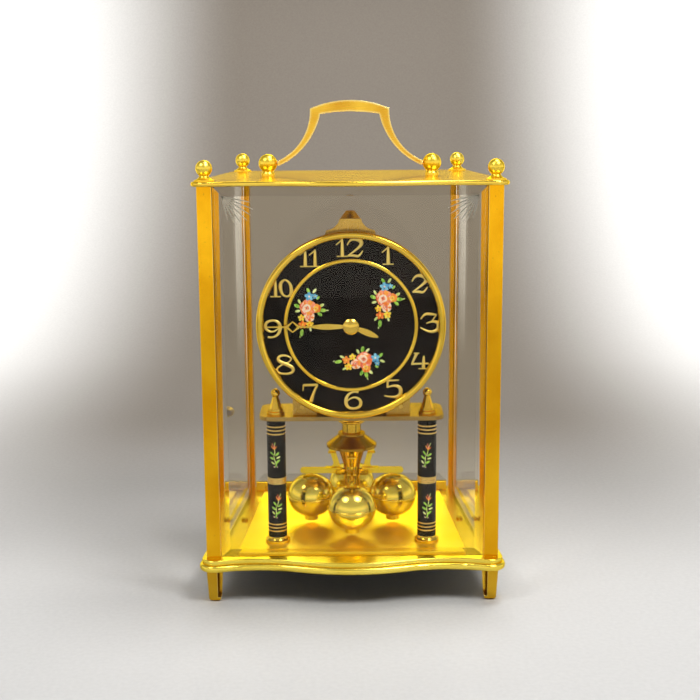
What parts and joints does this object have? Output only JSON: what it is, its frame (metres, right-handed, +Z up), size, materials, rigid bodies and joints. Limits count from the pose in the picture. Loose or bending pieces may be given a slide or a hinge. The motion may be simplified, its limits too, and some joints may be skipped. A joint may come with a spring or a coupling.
{
  "type": "torsion pendulum clock",
  "caption": "Glass-sided brass mantel clock with a swing handle, black dial, visible torsion pendulum of hanging balls and a spring-driven wheel train.",
  "frame": {"origin": "center of the footprint, on the plane of the feet's soles", "axes": "+Z up, -Y out of the dial towards the viewer, +X to the viewer's right"},
  "size_m": [0.166, 0.144, 0.2689],
  "materials": {
    "case_brass": "polished",
    "floor_brass": "brushed",
    "trim_brass": "polished",
    "movement_brass": "satin",
    "pendulum_brass": "polished",
    "pane_glass": "clear, bevelled",
    "column_enamel": "gloss",
    "dial_enamel": "gloss",
    "spring_steel": "blued",
    "arbor_steel": "polished"
  },
  "bodies": {
    "case": {"base_plinth": "case_brass", "bottom_cover": "case_brass", "case_feet": "case_brass", "post_front_left": "case_brass", "post_front_right": "case_brass", "post_back_left": "case_brass", "post_back_right": "case_brass", "top_plate": "case_brass", "corner_finials": "case_brass", "handle_balls": "case_brass", "floor_platform": "floor_brass", "column_feet": "trim_brass", "column_finials": "trim_brass", "movement_bridge": "trim_brass", "dial_bezel": "trim_brass", "dial_ring": "trim_brass", "front_plate": "movement_brass", "back_plate": "movement_brass", "plate_pillars": "movement_brass", "suspension_bracket": "movement_brass", "front_glass": "pane_glass", "left_glass": "pane_glass", "right_glass": "pane_glass", "column_left": "column_enamel", "column_right": "column_enamel", "dial_plate": "dial_enamel"},
    "handle": {"handle": "case_brass"},
    "back_door": {"back_door_glass": "pane_glass", "back_door_rails": "case_brass", "back_door_knob": "case_brass"},
    "minute": {"center_wheel": "movement_brass", "cannon_pinion": "movement_brass", "minute_hand": "trim_brass", "hand_nut": "trim_brass"},
    "hour": {"hour_wheel": "movement_brass", "hour_hand": "trim_brass"},
    "minute_work": {"minute_wheel": "movement_brass"},
    "third": {"third_wheel": "movement_brass"},
    "second": {"second_wheel": "movement_brass"},
    "barrel": {"mainspring_barrel": "movement_brass", "barrel_cap": "movement_brass", "mainspring": "spring_steel"},
    "fourth": {"fourth_wheel": "movement_brass"},
    "escape": {"escape_wheel": "movement_brass"},
    "winding": {"winding_arbor": "arbor_steel", "ratchet_wheel": "arbor_steel"},
    "click": {"click": "arbor_steel"},
    "pendulum": {"pendulum_spindle": "pendulum_brass", "suspension_wire": "spring_steel"},
    "regulator": {"regulating_disc": "pendulum_brass"},
    "lever_1": {"pendulum_lever_1": "pendulum_brass", "pendulum_ball_1": "pendulum_brass"},
    "lever_2": {"pendulum_lever_2": "pendulum_brass", "pendulum_ball_2": "pendulum_brass"},
    "lever_3": {"pendulum_lever_3": "pendulum_brass", "pendulum_ball_3": "pendulum_brass"},
    "lever_4": {"pendulum_lever_4": "pendulum_brass", "pendulum_ball_4": "pendulum_brass"},
    "fork": {"suspension_fork": "movement_brass"},
    "anchor": {"anchor": "arbor_steel"}
  },
  "joints": [
    {"name": "handle_swing", "type": "hinge", "parent": "case", "child": "handle", "pos_m": [0, 0.002, 0.2343], "axis": [1, 0, 0], "range_deg": [-90, 90]},
    {"name": "door_swing", "type": "hinge", "parent": "case", "child": "back_door", "pos_m": [0.0572, 0.063, 0.125], "axis": [0, 0, -1], "range_deg": [0, 110]},
    {"name": "hand_turn", "type": "hinge", "parent": "case", "child": "minute", "pos_m": [0, -0.0265, 0.15], "axis": [0, 1, 0], "continuous": true},
    {"name": "hour_turn", "type": "hinge", "parent": "case", "child": "hour", "pos_m": [0, -0.044, 0.15], "axis": [0, 1, 0], "continuous": true},
    {"name": "minute_work_turn", "type": "hinge", "parent": "case", "child": "minute_work", "pos_m": [0.00707, -0.042, 0.14293], "axis": [0, 1, 0], "continuous": true},
    {"name": "third_turn", "type": "hinge", "parent": "case", "child": "third", "pos_m": [-0.01073, -0.0265, 0.14302], "axis": [0, 1, 0], "continuous": true},
    {"name": "second_turn", "type": "hinge", "parent": "case", "child": "second", "pos_m": [-0.00751, -0.0265, 0.13062], "axis": [0, 1, 0], "continuous": true},
    {"name": "barrel_turn", "type": "hinge", "parent": "case", "child": "barrel", "pos_m": [0.011, -0.0265, 0.1195], "axis": [0, 1, 0], "continuous": true},
    {"name": "fourth_turn", "type": "hinge", "parent": "case", "child": "fourth", "pos_m": [0.00566, -0.0265, 0.15824], "axis": [0, 1, 0], "continuous": true},
    {"name": "escape_turn", "type": "hinge", "parent": "case", "child": "escape", "pos_m": [0, -0.0265, 0.166], "axis": [0, 1, 0], "continuous": true},
    {"name": "winding_turn", "type": "hinge", "parent": "case", "child": "winding", "pos_m": [0.011, -0.012, 0.1195], "axis": [0, 1, 0], "continuous": true},
    {"name": "click_lift", "type": "hinge", "parent": "case", "child": "click", "pos_m": [0.00918, -0.012, 0.12984], "axis": [0, -1, 0], "range_deg": [0, 12]},
    {"name": "pendulum_twist", "type": "hinge", "parent": "case", "child": "pendulum", "pos_m": [0, -0.006, 0.06], "axis": [0, 0, 1], "range_deg": [-150, 150], "stiffness_Nm_per_rad": 0.00003},
    {"name": "regulator_turn", "type": "hinge", "parent": "pendulum", "child": "regulator", "pos_m": [0, -0.006, 0.076], "axis": [0, 0, 1], "range_deg": [-90, 90]},
    {"name": "fork_twist", "type": "hinge", "parent": "case", "child": "fork", "pos_m": [0, -0.006, 0.19], "axis": [0, 0, 1], "range_deg": [-4.6, 4.6]},
    {"name": "anchor_rock", "type": "hinge", "parent": "case", "child": "anchor", "pos_m": [0, -0.0265, 0.178], "axis": [0, 1, 0], "range_deg": [-1.7, 1.7]},
    {"name": "lever_1_tip", "type": "hinge", "parent": "pendulum", "child": "lever_1", "pos_m": [0.008, -0.006, 0.0575], "axis": [0, -1, 0], "range_deg": [-2, 2]},
    {"name": "lever_2_tip", "type": "hinge", "parent": "pendulum", "child": "lever_2", "pos_m": [0, 0.002, 0.0575], "axis": [1, 0, 0], "range_deg": [-2, 2]},
    {"name": "lever_3_tip", "type": "hinge", "parent": "pendulum", "child": "lever_3", "pos_m": [-0.008, -0.006, 0.0575], "axis": [0, 1, 0], "range_deg": [-2, 2]},
    {"name": "lever_4_tip", "type": "hinge", "parent": "pendulum", "child": "lever_4", "pos_m": [0, -0.014, 0.0575], "axis": [-1, 0, 0], "range_deg": [-2, 2]}
  ],
  "couplings": [
    {"joint": "hour_turn", "follows": "hand_turn", "ratio": 0.083333},
    {"joint": "minute_work_turn", "follows": "hand_turn", "ratio": -0.33333},
    {"joint": "third_turn", "follows": "hand_turn", "ratio": -0.14286},
    {"joint": "second_turn", "follows": "hand_turn", "ratio": 0.020408},
    {"joint": "barrel_turn", "follows": "hand_turn", "ratio": -0.002551},
    {"joint": "fourth_turn", "follows": "hand_turn", "ratio": -4},
    {"joint": "escape_turn", "follows": "hand_turn", "ratio": 12},
    {"joint": "fork_twist", "follows": "pendulum_twist", "ratio": 0.03},
    {"joint": "anchor_rock", "follows": "pendulum_twist", "ratio": 0.0108},
    {"joint": "lever_1_tip", "follows": "regulator_turn", "ratio": 0.022222},
    {"joint": "lever_2_tip", "follows": "regulator_turn", "ratio": 0.022222},
    {"joint": "lever_3_tip", "follows": "regulator_turn", "ratio": 0.022222},
    {"joint": "lever_4_tip", "follows": "regulator_turn", "ratio": 0.022222}
  ]
}
